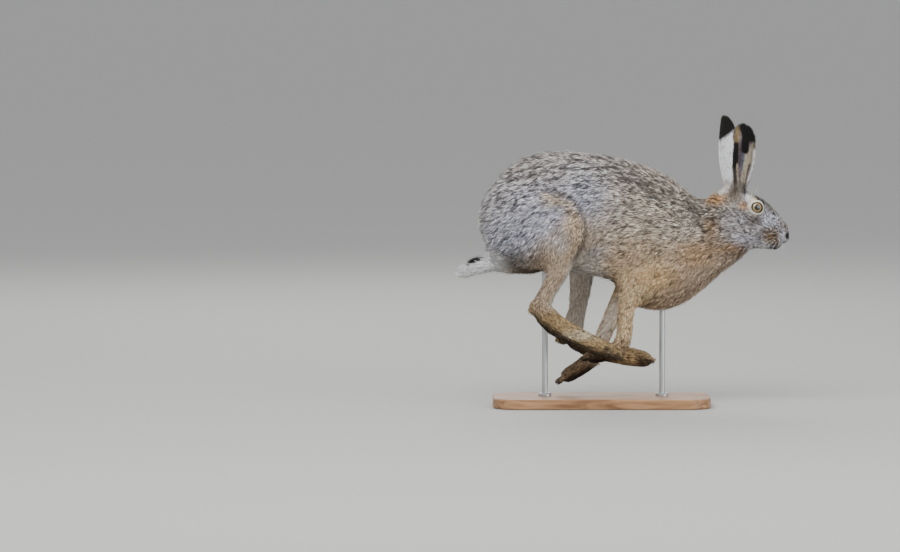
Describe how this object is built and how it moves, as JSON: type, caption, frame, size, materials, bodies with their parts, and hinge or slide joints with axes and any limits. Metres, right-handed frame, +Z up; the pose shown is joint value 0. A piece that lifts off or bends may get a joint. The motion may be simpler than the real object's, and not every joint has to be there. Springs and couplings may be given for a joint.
{
  "type": "brown hare display model",
  "caption": "Life-size brown hare at full gallop, gathered in mid-air with all feet off the ground, held by two rods on a flat wooden display base.",
  "frame": {"origin": "centre of the underside of the stand's base", "axes": "+X towards the hare's nose, +Y to the hare's left, +Z up"},
  "size_m": [0.4599, 0.1377, 0.3994],
  "materials": {
    "coat": "short dense fur, grey-buff with black tips, rusty on neck, legs and shoulder, white below",
    "eye": "glossy amber glass eye with a round black pupil",
    "base_wood": "satin oiled wood",
    "rod_steel": "brushed steel"
  },
  "bodies": {
    "root": {"head": "coat", "neck": "coat", "torso": "coat", "tail": "coat", "ear_right": "coat", "ear_left": "coat", "eye_right": "eye", "eye_left": "eye", "shoulder_right": "coat", "shoulder_left": "coat", "forearm_right": "coat", "forearm_left": "coat", "forepaw_right": "coat", "forepaw_left": "coat", "haunch_right": "coat", "haunch_left": "coat", "shank_right": "coat", "shank_left": "coat", "hind_foot_right": "coat", "hind_foot_left": "coat", "stand_base": "base_wood", "stand_rod_front": "rod_steel", "stand_rod_rear": "rod_steel"}
  },
  "joints": []
}
